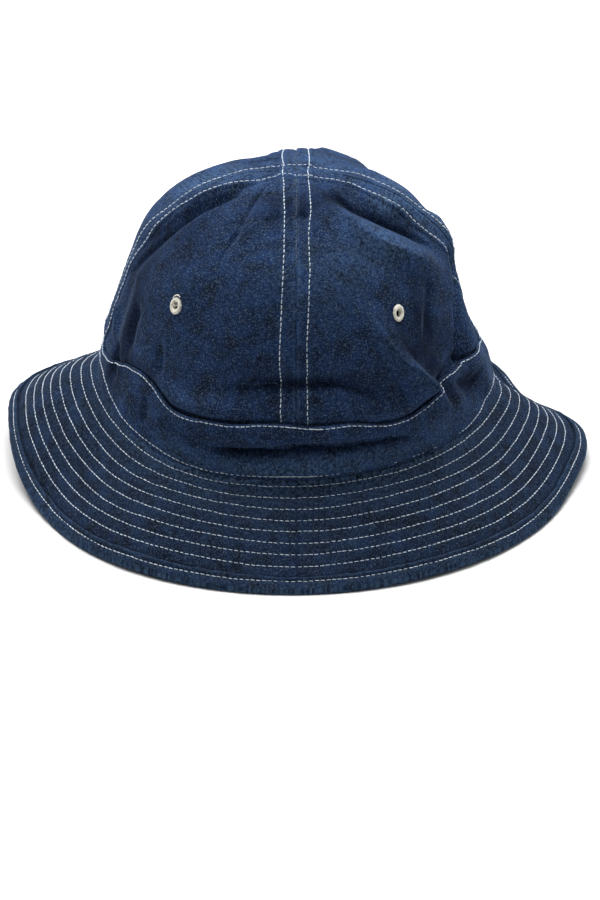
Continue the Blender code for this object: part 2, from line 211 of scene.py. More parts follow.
# Loose thread at the front left eyelet, in millimetres: places right, up and out from its centre,
# and its radius
LOOSE_ENDS = (
    (((-2.2, 0.6, 0.5), (-1.2, 0.1, 0.4), (0.0, -0.1, 0.4), (0.9, 0.3, 0.5), (1.9, 1.1, 0.7)), 0.26),
    (((-2.6, 3.0, 0.6), (-1.7, 4.2, 0.9), (-0.5, 5.0, 1.0), (0.7, 5.3, 0.9), (1.9, 4.6, 0.6)), 0.32),
)

# How far the crown's cloth rolls out over the band's upper edge
OVERHANGS = (
    # azimuth, share of the full roll
    (-180, 0.5), (-100, 0.3), (-60, 0.3), (-46, 0.5), (-37, 1.3), (-25, 1.3), (-10, 0.8), (0, 0.6),
    (20, 0.6), (36, 0.7), (50, 1), (68, 0.8), (82, 0.2), (180, 0.5),
)
OVERHANG_ROLL = 2.3 * MM
OVERHANG_GAP = 2.2 * MM
# Heights above the band's edge and widths of the roll and of the gap under it, in millimetres
ROLL_PLACE = (6.5, 4.2)
GAP_PLACE = (0.2, 1.5)

# Heights of the band's upper edge and of its lower row of stitches up the cloth, in millimetres
BAND_TOPS = (
    # azimuth, climb
    (-180, 27), (-120, 26), (-95, 17.5), (-84, 15.5), (-74, 20.5), (-62, 30.5), (-52, 34.5),
    (-45, 32.5), (-42, 29.7), (-37, 26.8), (-30, 27.2), (-24, 28.5), (-17, 28.6), (-11, 30.2),
    (-4, 30.4), (0, 29.5), (6, 28.4), (15, 28), (21, 25), (28, 22.7), (33, 22.5), (41, 26),
    (43, 29.6), (47, 31.8), (51, 33.4), (58, 32.5), (66, 32.5), (90, 30), (130, 27.5), (180, 27),
)
FOOT_ROWS = (
    # azimuth, climb
    (-180, 1.6), (-110, 3), (-90, 9), (-75, 9.7), (-68, 6.8), (-60, 5.2), (-50, 4), (-41, 3.6),
    (-34, 2.2), (-16, 1.6), (-2, 2.5), (4, 1.8), (18, 1.4), (45, 1.4), (55, 1.8), (69, 4.6),
    (77, 7.6), (90, 8), (110, 3), (180, 1.6),
)

# How the brim departs from an even one. Azimuth and roll are degrees, and the rest are millimetres.
BRIM_SHAPES = (
    # azimuth, reach, roll, lift of its rim, lift of its root
    (-180, 0, 32, 0, 0), (-150, 0, 32, 0, 0), (-125, -0.5, 6, 0.8, 0), (-105, 1.2, 24, 1.3, 1),
    (-90, -1.2, 46, 0.4, 3), (-75, 0.2, 14, 0, 5), (-60, 0.4, -8, 0, 3.4), (-30, 0.2, 34, 0, 1.1),
    (0, 2.3, -2, 0, 1), (30, -0.3, 12, 0, 0.9), (60, 0.7, 4, 0, 1.5), (75, -2, 10, 0, 3.5),
    (90, 1.5, 4, 0, 4.5), (100, -0.3, -8, 1.5, 3.5), (110, -9.5, -4, -0.4, 2),
    (120, -7, 20, 0.6, 1), (130, 2.8, 22, 5.6, 0.5), (140, 4.4, 22, 5.2, 0), (155, 1.5, 30, 1.9, 0),
    (180, 0, 32, 0, 0),
)
# Least roll in radians, as a flat brim has no centre to roll round
FLATTEST_ROLL = 0.001
# Passes that ease the corners of a table
EASING = 6
FOOT_EASING = 20
BRIM_EASING = 60

# Stitching. Lengths are metres, and a share is that of a stitch's pitch.
STITCH_PITCH = 2.65 * MM
STITCH_SHARE = 0.80
BRIM_STITCH_SHARE = 0.81
THREAD_RADIUS = 0.185 * MM
BAND_THREAD_RADIUS = 1.2 * THREAD_RADIUS
CROWN_THREAD_RADIUS = 1.4 * THREAD_RADIUS
SEAM_ROW = 6.2 * MM
# Seeds of the small folds along the seam from front to back and along the one from side to side
LENGTHWISE = 11
CROSSWISE = 21
# How far the left and the right row of the seam from front to back stray outwards at the front,
# in millimetres
FRONT_ROWS = (
    # climb, left, right
    (0, 0.6, -0.2), (24, 1, -0.4), (50, 1.5, -1.6), (62, 1.6, -1.1), (80, 0.8, -0.2),
    (100, -0.4, 0.2), (120, -0.8, -0.6), (134, -1, 0.7), (150, -0.2, 0.3), (162, 0.6, -0.8),
    (175, 0, 0),
)
# Shares of the climb, and how near the side seam its rear row lies there, 1 being the usual distance
REAR_ROW_SHARES = ((0.45, 0.75, 0.93), (0.40, 0.60, 1.00))
# Distance of the brim's first row from the head line and between its rows, in millimetres
BRIM_FIRST_ROW = 4.7
BRIM_ROW_GAP = 6.0
BRIM_ROWS = [(BRIM_FIRST_ROW + BRIM_ROW_GAP * row) * MM for row in range(8)]
BINDING_ROW = 55.3 * MM
BAND_TOP_ROW = 1.0 * MM

# Azimuth of the joint in the band and in the brim
FRONT_SEAM = radians(0.4)
# Distance to the side from which the threads are plumpest
SIDE_REACH = 0.14
THREAD_SIDES = 6
# Corners of the two quads that close a thread's end
THREAD_CAPS = ([0, 1, 2, 3], [3, 4, 5, 0])
# Depth of the groove that the binding's row of stitches pulls
BINDING_PULL = 0.45 * MM

# Stretch of an eyelet's height, radius of the hole cut in the panel, and radius of the eyelet in millimetres
EYELET_HEIGHT = 1.06
EYELET_CUT = 2.7 * MM
EYELET_EDGE = 3.55
EYELET_STRANDS = 30

# Distances, in metres, that set the scale of the weave round the binding and out along the brim
BINDING_MAP = 0.105
BRIM_MAP = 0.1

# Counts of steps in the tables of the crown's shape, of cells in the noise, and of steps in the meshes
TURN_STEPS = 720
SHARE_STEPS = 800
NOISE_CELLS = 128
AROUND = 720
# How much closer the mesh is at the front of a ring and at the seams of a panel
FRONT_CROWDING = 0.5
SEAM_CROWDING = 0.45
PANEL_MESHES = {"front": (200, 220), "back": (130, 150)}
LINING_ROWS = 36
BAND_ROWS = 56
BAND_LINING_ROWS = 12
BRIM_MESH_ROWS = 72
ROW_STEPS = 2400
RISE_STEPS = (pi / 2) * (1 - (1 - np.linspace(0, 1, 301)) ** 1.5)
SHARES = np.linspace(0, 1, SHARE_STEPS + 1)
TURNS = np.linspace(0, 2 * pi, TURN_STEPS + 1)
ROUND = np.linspace(0.002, 2 * pi - 0.002, ROW_STEPS)
# Share of the band's height at which the panels end under it
PANEL_TUCK = 0.45
# Step, as a share of its height, over which the band's slope is measured
BAND_STEP = 0.02
# Share of the climb at which the panels meet at the top
CROWN_TOP = 0.9995
# Distance along a seam at which its second half starts, well past the end of its first half
HALF_SHIFT = 0.4


def hump(distance, width):
    """Smooth hump, 1 in its middle, over distances in metres and with a width in millimetres."""
    return np.exp(-((distance / (width * MM)) ** 2))


def unit(vectors):
    return vectors / np.linalg.norm(vectors, axis=-1, keepdims=True)


def column(table, number):
    return np.array([row[number] for row in table])


def lap(values, azimuth):
    """Smooth closed curve through values spaced evenly round the hat, read at an azimuth."""
    place = np.asarray(azimuth) / (2 * pi) * len(values)
    first = np.floor(place).astype(int)
    part = place - first
    before, start, end, after = (values[(first + step) % len(values)] for step in (-1, 0, 1, 2))
    bend = (2 * before - 5 * start + 4 * end - after) * part**2
    turn = (3 * start - before - 3 * end + after) * part**3
    return 0.5 * (2 * start + (end - before) * part + bend + turn)


def turned(azimuth):
    """An azimuth between minus and plus half a turn."""
    return (azimuth + pi) % (2 * pi) - pi


def smooth_step(value, low, high):
    part = np.clip((value - low) / (high - low), 0, 1)
    return part * part * (3 - 2 * part)


def softened(table, number, azimuth, passes=EASING):
    """A column of a table that goes once round the hat, read at an azimuth with its corners eased."""
    degrees = np.arange(-180, 180)
    values = np.interp(degrees, column(table, 0), column(table, number))
    for _ in range(passes):
        values = (np.roll(values, 1) + 2 * values + np.roll(values, -1)) / 4
    return np.interp(np.degrees(turned(azimuth)), np.arange(-180, 181), np.append(values, values[0]))


def lap_turns():
    """Azimuths once round the hat, closer together at the front."""
    part = np.linspace(0, 1, AROUND + 1)
    return 2 * pi * part - FRONT_CROWDING * np.sin(2 * pi * part)


def ripples(across, up, seed, period=32 * NOISE_CELLS):
    """Smooth random relief between -1 and 1, one cell to each unit, repeating across."""
    dice = np.random.default_rng(seed)
    grid = dice.uniform(-1, 1, (min(period, NOISE_CELLS), NOISE_CELLS))
    i = np.floor(across).astype(int)
    j = np.floor(up).astype(int)
    x = across - i
    y = up - j
    x = x * x * (3 - 2 * x)
    y = y * y * (3 - 2 * y)
    a, b = (i % period) % len(grid), ((i + 1) % period) % len(grid)
    c, d = j % NOISE_CELLS, (j + 1) % NOISE_CELLS
    low = grid[a, c] * (1 - x) + grid[b, c] * x
    high = grid[a, d] * (1 - x) + grid[b, d] * x
    return low * (1 - y) + high * y


def head_line(azimuth):
    """Places on the head line and the level directions straight out from it."""
    outward = unit(np.stack([np.sin(azimuth) / HEAD_HALF_WIDTH, -np.cos(azimuth) / HEAD_HALF_DEPTH], -1))
    swell = HEAD_HALF_WIDTH * lap(column(BRIM_SECTIONS, 3), azimuth)
    edge = np.stack([HEAD_HALF_WIDTH * np.sin(azimuth), -HEAD_HALF_DEPTH * np.cos(azimuth)], -1)
    return edge + swell[..., None] * outward, outward


def head_height(azimuth):
    return HEAD_LINE_HEIGHT * lap(column(BRIM_SECTIONS, 1), azimuth)


def crown_flat(azimuth, rise):
    """How far right and back of the seams a place lies, and its share of the rise."""
    squareness = lap(column(CROWN_ROUNDING, 1), azimuth)
    fullness = lap(column(CROWN_ROUNDING, 2), azimuth)
    inward = np.clip(np.cos(rise), 0, 1) ** (2 / squareness)
    upward = np.clip(np.sin(rise), 0, 1) ** (2 / squareness)
    level = inward * (1 + fullness * np.sin(pi * upward))
    edge, _ = head_line(azimuth)
    return edge[..., 0] * level, edge[..., 1] * level, upward


def crown_form(azimuth, rise):
    right, back, upward = crown_flat(azimuth, rise)
    low = head_height(azimuth)
    along = HEAD_SET_BACK + back - CROWN_LEAN * upward**1.5
    return np.stack([right, along, low + (HEAD_LINE_HEIGHT + CROWN_RISE - low) * upward], -1)


def climb_tables():
    """Rise at even shares of the climb for even azimuths, and the whole climb at each azimuth."""
    path = crown_form(TURNS[:, None], RISE_STEPS[None, :])
    pieces = np.linalg.norm(np.diff(path, axis=1), axis=-1)
    climbed = np.concatenate([np.zeros((len(TURNS), 1)), np.cumsum(pieces, axis=1)], axis=1)
    rises = np.array([np.interp(SHARES * row[-1], row, RISE_STEPS) for row in climbed])
    return rises, climbed[:, -1]


RISES, CLIMBS = climb_tables()


def whole_climb(azimuth):
    return np.interp(azimuth % (2 * pi), TURNS, CLIMBS)


def rise_at(azimuth, share):
    """Rise at a share of the climb, read from the table."""
    x = (azimuth % (2 * pi)) / (2 * pi) * TURN_STEPS
    y = np.clip(share, 0, 1) * SHARE_STEPS
    i = np.clip(np.floor(x).astype(int), 0, TURN_STEPS - 1)
    j = np.clip(np.floor(y).astype(int), 0, SHARE_STEPS - 1)
    x, y = x - i, y - j
    low = RISES[i, j] * (1 - x) + RISES[i + 1, j] * x
    high = RISES[i, j + 1] * (1 - x) + RISES[i + 1, j + 1] * x
    return low * (1 - y) + high * y


def flat_place(azimuth, share):
    """How far right and back of the seams a place at a share of the climb lies."""
    return crown_flat(azimuth, rise_at(azimuth, share))[:2]


def climb_and_reach(azimuth, share):
    """How far up the cloth and how far out from the crown's middle a place lies, in millimetres."""
    return share * whole_climb(azimuth) / MM, np.hypot(*flat_place(azimuth, share)) / MM


def side_seams():
    """The side seams' azimuths at even shares of the climb, and how far back they lie, right one first."""
    seams = []
    for number, side in ((1, 1), (2, -1)):
        lead = np.interp(SHARES, column(SEAM_LEADS, 0), column(SEAM_LEADS, number)) * MM
        span = 2 * SEAM_EASING + 1
        lead = np.convolve(np.pad(lead, SEAM_EASING, mode="edge"), np.ones(span) / span, "valid")
        middle = np.full(len(SHARES), side * pi / 2 % (2 * pi))
        reach = np.abs(flat_place(middle, SHARES)[0])
        slip = np.arcsin(np.minimum(lead / np.maximum(reach, MM), STEEPEST_SLIP))
        seams.append((side * (pi / 2 - slip) % (2 * pi), -lead))
    return seams


SIDE_SEAMS = side_seams()


def behind_seam(right, back, share):
    """How far behind the side seams a place lies."""
    lines = [np.interp(share, SHARES, seam[1]) for seam in SIDE_SEAMS]
    return back - np.where(right > 0, *lines)


def wrinkle_depth(azimuth, share, widest=np.inf):
    """Inward depth of the wrinkles up to a width in millimetres, in metres."""
    azimuth, share = np.broadcast_arrays(azimuth, share)
    total = np.zeros(azimuth.shape)
    climb, reach = climb_and_reach(azimuth, share)
    reach = np.maximum(reach, SMALLEST_REACH)
    for depth, right_width, left_width, places in WRINKLES:
        middle = radians(places[len(places) // 2][0])
        near = np.abs(turned(azimuth - middle)) < WRINKLE_VIEW
        if not near.any() or max(right_width, left_width) > widest:
            continue
        turn, height, arm = azimuth[near], climb[near], reach[near]
        best = np.full(turn.shape, np.inf)
        width = np.ones(turn.shape)
        along = np.zeros(turn.shape)
        for number, (start, end) in enumerate(zip(places, places[1:])):
            x = turned(radians(start[0]) - turn) * arm
            y = start[1] - height
            run = radians(end[0] - start[0]) * arm
            climbed = end[1] - start[1]
            part = np.clip(-(x * run + y * climbed) / (run * run + climbed * climbed), 0, 1)
            nearest_x = x + part * run
            nearest_y = y + part * climbed
            far = np.hypot(nearest_x, nearest_y)
            closer = far < best
            left = climbed * nearest_x - run * nearest_y > 0
            best = np.where(closer, far, best)
            width = np.where(closer, np.where(left, left_width, right_width), width)
            along = np.where(closer, (number + part) / (len(places) - 1), along)
        taper = smooth_step(np.minimum(along, 1 - along), 0.0, WRINKLE_TAPER)
        total[near] += depth * MM * np.exp(-((best / width) ** WRINKLE_POWER)) * taper
    return total


def painted_crease_shade(azimuth, share):
    """Painted shade in the creases at a place, from 0 to 1, growing with how deep in a crease it lies."""
    return smooth_step(wrinkle_depth(azimuth, share, SHADED_WIDTH), *SHADED_DEPTHS)


def fold_depth(azimuth, share):
    """Inward depth of the folds and wrinkles, in metres."""
    total = wrinkle_depth(azimuth, share)
    for centre, climb, length, below, above, tilt, depth in FOLDS:
        turn = turned(azimuth - radians(centre))
        across = turn * HEAD_HALF_WIDTH * cos(pi / 2 * climb) ** 0.5
        up = (share - climb) * CLIMB_LENGTH
        along = across * cos(radians(tilt)) + up * sin(radians(tilt))
        aside = up * cos(radians(tilt)) - across * sin(radians(tilt))
        width = np.where(aside > 0, above, below) * HEAD_HALF_WIDTH
        reach = np.exp(-((along / (length * HEAD_HALF_WIDTH)) ** 4))
        total = total + depth * HEAD_HALF_WIDTH * reach * np.exp(-((aside / width) ** 2))
    return total * (1 - share**FOLD_FADE)


def painted_shading(azimuth, share):
    """Amount of painted shade at a place, or with a minus of painted light."""
    azimuth, share = np.broadcast_arrays(azimuth, share)
    climb, reach = climb_and_reach(azimuth, share)
    total = np.zeros(azimuth.shape)
    for centre, height, wide, high, amount in PAINTED_SHADINGS:
        across = turned(azimuth - radians(centre)) * reach / wide
        total += amount * np.exp(-(across**2) - ((climb - height) / high) ** 2)
    return total


def band_top(azimuth):
    """Climb of the band's upper edge."""
    return softened(BAND_TOPS, 1, azimuth) * MM


def foot_row(azimuth):
    """Climb of the band's lower row of stitches."""
    return softened(FOOT_ROWS, 1, azimuth, FOOT_EASING) * MM


def seam_wander(along, side, seed):
    """How far a row beside a seam strays outwards from its line."""
    stray = 0.7 * MM * ripples(along / (19 * MM) + side * 13.3, 0 * along + 0.5, seed + 2)
    if seed != LENGTHWISE:
        return stray
    climb, left, right = np.transpose(FRONT_ROWS) * MM
    return stray + np.where(side < 0, np.interp(along, climb, left), np.interp(along, climb, right))


def seam_relief(aside, along, seed):
    """Relief of an opened seam: turned edges under the cloth, a groove and two stitched rows."""
    far = np.abs(aside)
    edges = 0.75 * MM * (1 - smooth_step(far, 7.4 * MM, 9.2 * MM))
    groove = 0.6 * MM * hump(far, 0.55)
    stray = SEAM_ROW + seam_wander(along, np.sign(aside), seed)
    row = 0.30 * MM * hump(far - stray, 0.7)
    side = np.sign(aside) * 31.7
    pucker = 0.30 * MM * ripples(along / (5.5 * MM) + side, along * 0 + far / (9 * MM), seed)
    pucker = pucker * hump(far - 8 * MM, 5.5)
    small = 0.12 * MM * ripples(along / (2.9 * MM) + side, far / (4 * MM), seed + 1)
    small = small * (1 - smooth_step(far, 6 * MM, 9 * MM))
    return edges - groove - row + pucker + small


def crown_relief(azimuth, share):
    """Height of the cloth above the smooth crown, along its normals."""
    right, back = flat_place(azimuth, share)
    climb = share * whole_climb(azimuth)
    behind = np.where(back < 0, 0.0, 1.0)
    leftwards = np.where(right > 0, 0.0, 1.0)
    long_seam = seam_relief(right, climb + behind * HALF_SHIFT, LENGTHWISE)
    side_seam = seam_relief(behind_seam(right, back, share), climb + leftwards * HALF_SHIFT, CROSSWISE)
    across = turned(azimuth) * HEAD_HALF_WIDTH
    soft = 0
    for height, wide, high, seed in ((0.85, 26, 30, 31), (0.36, 11, 14, 32), (0.08, 3.4, 5, 33)):
        soft = soft + height * MM * ripples(across / (wide * MM) + 50, climb / (high * MM), seed)
    soft = soft * (1 - share**FOLD_FADE)
    above = (climb - band_top(azimuth)) / MM
    roll = OVERHANG_ROLL * np.exp(-(((above - ROLL_PLACE[0]) / ROLL_PLACE[1]) ** 2))
    gap = OVERHANG_GAP * np.exp(-(((above - GAP_PLACE[0]) / GAP_PLACE[1]) ** 2))
    overhang = softened(OVERHANGS, 1, azimuth) * (roll - gap)
    return -fold_depth(azimuth, share) + long_seam + side_seam + soft + overhang


def normals(sheet, azimuth, other, step=0.001):
    """Outward normals of a sheet, which is a function of azimuth and one other measure."""
    turn = 0.35 * MM / HEAD_HALF_WIDTH
    ahead = sheet(azimuth + turn, other) - sheet(azimuth - turn, other)
    above = sheet(azimuth, other + step) - sheet(azimuth, other - step)
    normal = np.cross(ahead, above)
    size = np.linalg.norm(normal, axis=-1, keepdims=True)
    top = size < 1e-12
    return np.where(top, np.array([0.0, 0.0, 1.0]), normal / np.where(top, 1.0, size))


def smooth_crown(azimuth, share):
    return crown_form(azimuth, rise_at(azimuth, share))


def crown_cloth(azimuth, share):
    """The crown's cloth with its folds, seams and puckers."""
    share = np.clip(share, 0, CROWN_TOP)
    normal = normals(smooth_crown, azimuth, share)
    return smooth_crown(azimuth, share) + crown_relief(azimuth, share)[..., None] * normal


def crown_inside(azimuth, share):
    """The crown's inner face, one thickness of cloth under the outer one."""
    share = np.clip(share, 0, CROWN_TOP)
    return crown_cloth(azimuth, share) - PANEL_CLOTH * normals(crown_cloth, azimuth, share, 0.002)


def row_wander(azimuth, seed):
    """How far a sewn row strays from its line."""
    turns = azimuth / (2 * pi)
    wide = 0.30 * MM * ripples(turns * 24, turns * 0 + seed, seed + 40, 24)
    return wide + 0.12 * MM * ripples(turns * 90, turns * 0 + seed, seed + 60, 90)


def brim_relief(azimuth, out):
    """Relief of the quilted brim: each sewn row pulls the plies together and puckers them."""
    turns = azimuth / (2 * pi)
    total = np.zeros(np.broadcast(azimuth, out).shape)
    for number, row in enumerate(BRIM_ROWS):
        line = row + row_wander(azimuth, number)
        total -= 0.42 * MM * hump(out - line, 0.75)
    between = (out - BRIM_ROWS[0]) / (BRIM_ROW_GAP * MM)
    swell = np.sin(pi * (between - np.floor(between))) ** 2
    total += 0.20 * MM * swell * ripples(turns * 190 + np.floor(between) * 17.3, out / (7 * MM), 71, 190)
    total += 0.16 * MM * ripples(turns * 300, out / (3 * MM), 72, 300)
    total += 0.5 * MM * ripples(turns * 36, out / (24 * MM), 73, 36)
    total += front_seam(azimuth)
    root = 0.8 * MM * hump(out - 2.4 * MM, 2.2)
    inside = smooth_step(out, 0.0, 3 * MM) * (1 - smooth_step(out, 0.95 * BRIM_WIDTH, BRIM_WIDTH))
    return root + total * inside


def brim_place(azimuth, out, lift):
    """Brim at distances out from the head line, raised by lift along its normals."""
    edge, outward = head_line(azimuth)
    reach, roll, rim_lift, root_lift = (softened(BRIM_SHAPES, number, azimuth, BRIM_EASING)
                                        for number in (1, 2, 3, 4))
    root = head_height(azimuth) - CLEARANCE + root_lift * MM
    rim = HEAD_LINE_HEIGHT * np.maximum(lap(column(BRIM_SECTIONS, 2), azimuth), 0) + RIM_CLOTH_HEIGHT
    rim = rim + rim_lift * MM
    roll = np.radians(roll)
    roll = np.where(np.abs(roll) < FLATTEST_ROLL, FLATTEST_ROLL, roll)
    width = BRIM_WIDTH + reach * MM
    chord = width * np.sin(roll / 2) / (roll / 2)
    first = np.arcsin(np.clip((root - rim) / chord, -1, 1)) - roll / 2
    here = first + roll * out / BRIM_WIDTH
    reach = width / roll * (np.sin(here) - np.sin(first)) + lift * np.sin(here)
    drop = width / roll * (np.cos(first) - np.cos(here)) - lift * np.cos(here)
    level = (0, HEAD_SET_BACK) + edge + reach[..., None] * outward
    height = np.maximum(root - drop, 0)
    return np.concatenate([level, height[..., None]], -1)


def brim_cloth(azimuth, out):
    """The brim's upper face with its stitched rows."""
    return brim_place(azimuth, out, brim_relief(azimuth, out))


def build_mesh(name, points, faces, uv, values, material, nodes):
    """Object from points, quads with a UV for each corner, and named values for each point."""
    mesh = bpy.data.meshes.new(name)
    mesh.from_pydata([], [], [])
    mesh.vertices.add(len(points))
    mesh.vertices.foreach_set("co", np.ascontiguousarray(points, dtype=np.float32).ravel())
    count, sides = faces.shape
    mesh.loops.add(count * sides)
    mesh.loops.foreach_set("vertex_index", faces.ravel().astype(np.int32))
    mesh.polygons.add(count)
    mesh.polygons.foreach_set("loop_start", np.arange(count, dtype=np.int32) * sides)
    mesh.polygons.foreach_set("loop_total", np.full(count, sides, dtype=np.int32))
    mesh.update(calc_edges=True)
    layer = mesh.uv_layers.new(name="cloth")
    layer.data.foreach_set("uv", np.ascontiguousarray(uv, dtype=np.float32).ravel())
    for key, value in values.items():
        attribute = mesh.attributes.new(key, "FLOAT", "POINT")
        attribute.data.foreach_set("value", np.ascontiguousarray(value, dtype=np.float32).ravel())
    mesh.polygons.foreach_set("use_smooth", np.ones(count, dtype=bool))
    mesh.materials.append(material)
    mesh.validate()
    piece = bpy.data.objects.new(name, mesh)
    bpy.context.collection.objects.link(piece)
    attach(piece, "root")
    if nodes:
        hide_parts(*nodes)
    return piece


def sweep(name, loops, maps, values, material, nodes):
    """Ring of denim swept through section loops. The last lies on the first, and only its map is used."""
    loops = loops[:-1]
    count, width = loops.shape[:2]
    near = np.arange(count * width).reshape(count, width)
    far = np.roll(near, -1, axis=0)
    quads = np.stack([near, far, np.roll(far, -1, axis=1), np.roll(near, -1, axis=1)], -1)
    wide = np.concatenate([maps, maps[:, :1]], axis=1)
    start, end = wide[:-1], wide[1:]
    uv = np.stack([start[:, :-1], end[:, :-1], end[:, 1:], start[:, 1:]], axis=2)
    values = {key: value[:-1] for key, value in values.items()}
    return build_mesh(name, loops.reshape(-1, 3), quads.reshape(-1, 4), uv.reshape(-1, 4, 2), values,
                      material, nodes)


def link(tree, source, target):
    tree.links.new(source, target)


def set_sockets(made, values):
    for key, value in dict(values).items():
        made.inputs[key].default_value = value


def node(tree, kind, values=(), **settings):
    """New node with its settings, and with values for its sockets."""
    made = tree.nodes.new(kind)
    for key, value in settings.items():
        setattr(made, key, value)
    set_sockets(made, values)
    return made


def scaled(tree, source, across, up, shift=(0, 0, 0)):
    mapping = node(tree, "ShaderNodeMapping", {"Scale": (across, up, 1), "Location": shift})
    link(tree, source, mapping.inputs["Vector"])
    return mapping.outputs["Vector"]


def noise(tree, source, scale, detail, roughness):
    made = node(tree, "ShaderNodeTexNoise", {"Scale": scale, "Detail": detail, "Roughness": roughness})
    link(tree, source, made.inputs["Vector"])
    return made.outputs["Fac"]


def sharpened(tree, source, low, high, to_low=0.0, to_high=1.0):
    made = node(tree, "ShaderNodeMapRange",
                {"From Min": low, "From Max": high, "To Min": to_low, "To Max": to_high})
    link(tree, source, made.inputs["Value"])
    return made.outputs["Result"]


def raised(tree, shader, height, strength, distance):
    """Tilts a shader's normals by the slope of a height."""
    bump = node(tree, "ShaderNodeBump", {"Strength": strength, "Distance": distance})
    link(tree, height, bump.inputs["Height"])
    link(tree, bump.outputs["Normal"], shader.inputs["Normal"])


def new_material(name, values):
    """New material, its tree and its shader, with values for the shader's sockets."""
    material = bpy.data.materials.new(name)
    material.use_nodes = True
    shader = material.node_tree.nodes["Principled BSDF"]
    set_sockets(shader, values)
    return material, material.node_tree, shader


def reckon(tree, operation, first, second):
    made = node(tree, "ShaderNodeMath", operation=operation)
    for socket, value in zip(made.inputs, (first, second)):
        if isinstance(value, (int, float)):
            socket.default_value = value
        else:
            link(tree, value, socket)
    return made.outputs["Value"]


def blended(tree, share, first, second):
    made = node(tree, "ShaderNodeMix", data_type="RGBA")
    link(tree, share, made.inputs["Factor"])
    for socket, value in ((made.inputs["A"], first), (made.inputs["B"], second)):
        if isinstance(value, tuple):
            socket.default_value = (*value, 1.0)
        else:
            link(tree, value, socket)
    return made.outputs["Result"]


def denim(name, deep, mid, pale, lightening):
    """Indigo denim: warp and weft yarns, pale specks, soft mottling, worn edges lightened along with painted
    light, and painted shade in creases.
    """
    material, tree, shader = new_material(name, {
        "Roughness": 0.92, "Specular IOR Level": 0.05, "Sheen Weight": 0.14, "Sheen Roughness": 0.22,
        "Sheen Tint": (0.42, 0.62, 1.0, 1.0)})
    place = node(tree, "ShaderNodeUVMap", uv_map="cloth").outputs["UV"]
    blotch = noise(tree, scaled(tree, place, 1, 1), 85.0, 3.0, 0.55)
    patch = noise(tree, scaled(tree, place, 1, 0.6, (1, 2, 0)), 230.0, 3.0, 0.6)
    mottle = reckon(tree, "MULTIPLY", reckon(tree, "ADD", blotch, patch), 0.5)
    warp, weft, specks = (noise(tree, scaled(tree, place, *weave), 1.0, 2.0, 0.6) for weave in (
        (1500, 560), (560, 1500, (5, 3, 0)), (1500, 1500, (11, 5, 0))))
    cloth = blended(tree, sharpened(tree, mottle, 0.38, 0.63), deep, mid)
    for yarn, share in ((warp, 0.42), (weft, 0.35), (specks, 0.6)):
        cloth = blended(tree, sharpened(tree, yarn, 0.56, 0.74, 0.0, share), cloth, pale)
    # Lightening of worn edges and seams, together with painted light from the light patches and near the
    # brim's root, broken up by the rubbing noise
    wear_and_painted_light = node(tree, "ShaderNodeAttribute", attribute_name="wear_and_painted_light").outputs["Fac"]
    rub = noise(tree, scaled(tree, place, 600, 600, (2, 9, 0)), 1.0, 2.0, 0.6)
    rubbed_and_lit = reckon(tree, "MULTIPLY", wear_and_painted_light, sharpened(tree, rub, 0.40, 0.62))
    # Painted shade: the colour darkens towards the painted shade colour by the value read here
    painted_shade = node(tree, "ShaderNodeAttribute", attribute_name="painted_shade").outputs["Fac"]
    shaded_cloth = blended(tree, reckon(tree, "MULTIPLY", painted_shade, 0.65), cloth, PAINTED_SHADE_COLOUR)
    link(tree, blended(tree, rubbed_and_lit, shaded_cloth, lightening), shader.inputs["Base Color"])
    height = reckon(tree, "ADD", reckon(tree, "ADD", warp, weft), specks)
    raised(tree, shader, height, 0.6, 0.0003)
    return material


def cotton(name, colour, shade):
    """Twisted cotton thread."""
    material, tree, shader = new_material(name, {
        "Roughness": 0.75, "Specular IOR Level": 0.3, "Sheen Weight": 0.2})
    place = node(tree, "ShaderNodeUVMap", uv_map="cloth").outputs["UV"]
    twist = node(tree, "ShaderNodeTexWave", {"Scale": 1.0, "Distortion": 0.6}, wave_type="BANDS",
                 bands_direction="DIAGONAL")
    link(tree, scaled(tree, place, 900, 1400), twist.inputs["Vector"])
    tint = noise(tree, scaled(tree, place, 1, 1), 160.0, 2.0, 0.5)
    base = blended(tree, sharpened(tree, tint, 0.35, 0.65), shade, colour)
    # Darker bands along the twist: painted shade in the grooves between the plies
    link(tree, blended(tree, sharpened(tree, twist.outputs["Fac"], 0.0, 0.5, 0.45, 0.0), base, shade),
         shader.inputs["Base Color"])
    raised(tree, shader, twist.outputs["Fac"], 0.5, 0.0001)
    return material


# Colour towards which painted shade darkens the denim
PAINTED_SHADE_COLOUR = (0.0016, 0.0036, 0.0120)
DENIM = denim("denim", (0.0036, 0.0076, 0.0205), (0.0106, 0.0300, 0.0930), (0.150, 0.220, 0.315),
              (0.09, 0.17, 0.31))
# Darker copy of the denim for the brim and its binding: the same cloth, darkened as painted shade for the
# shadows in the quilted brim's puckers
SHADED_BRIM_DENIM = denim("brim_denim_shaded", (0.0022, 0.0040, 0.0100), (0.0060, 0.0158, 0.0435),
                   (0.083, 0.122, 0.175), (0.07, 0.13, 0.23))
THREAD = cotton("thread", (0.76, 0.85, 0.93), (0.36, 0.44, 0.53))
EYELET_THREAD = cotton("eyelet_thread", (0.95, 0.93, 0.85), (0.66, 0.63, 0.54))


def panel_turns(quarter, part, share):
    """Azimuths at parts of the way across a panel, between its seams at each share of the climb."""
    lines = [np.interp(share, SHARES, seam[0]) for seam in SIDE_SEAMS]
    first = (0.0, lines[0], pi, lines[1])[quarter]
    last = (lines[0], pi, lines[1], 2 * pi)[quarter]
    return first + (last - first) * part[:, None]


def panel_map(azimuth, share, middle):
    """Where places of a panel lie on its flat cloth, measured from the panel's middle azimuth."""
    reach = np.hypot(*flat_place(azimuth, share))
    return np.stack([(azimuth - middle) * reach, share * whole_climb(azimuth)], -1)


def lined(outer, inner):
    """Values of an outer sheet, with none on the inner one."""
    return np.concatenate([outer, np.zeros(inner.shape[:2])], axis=1)


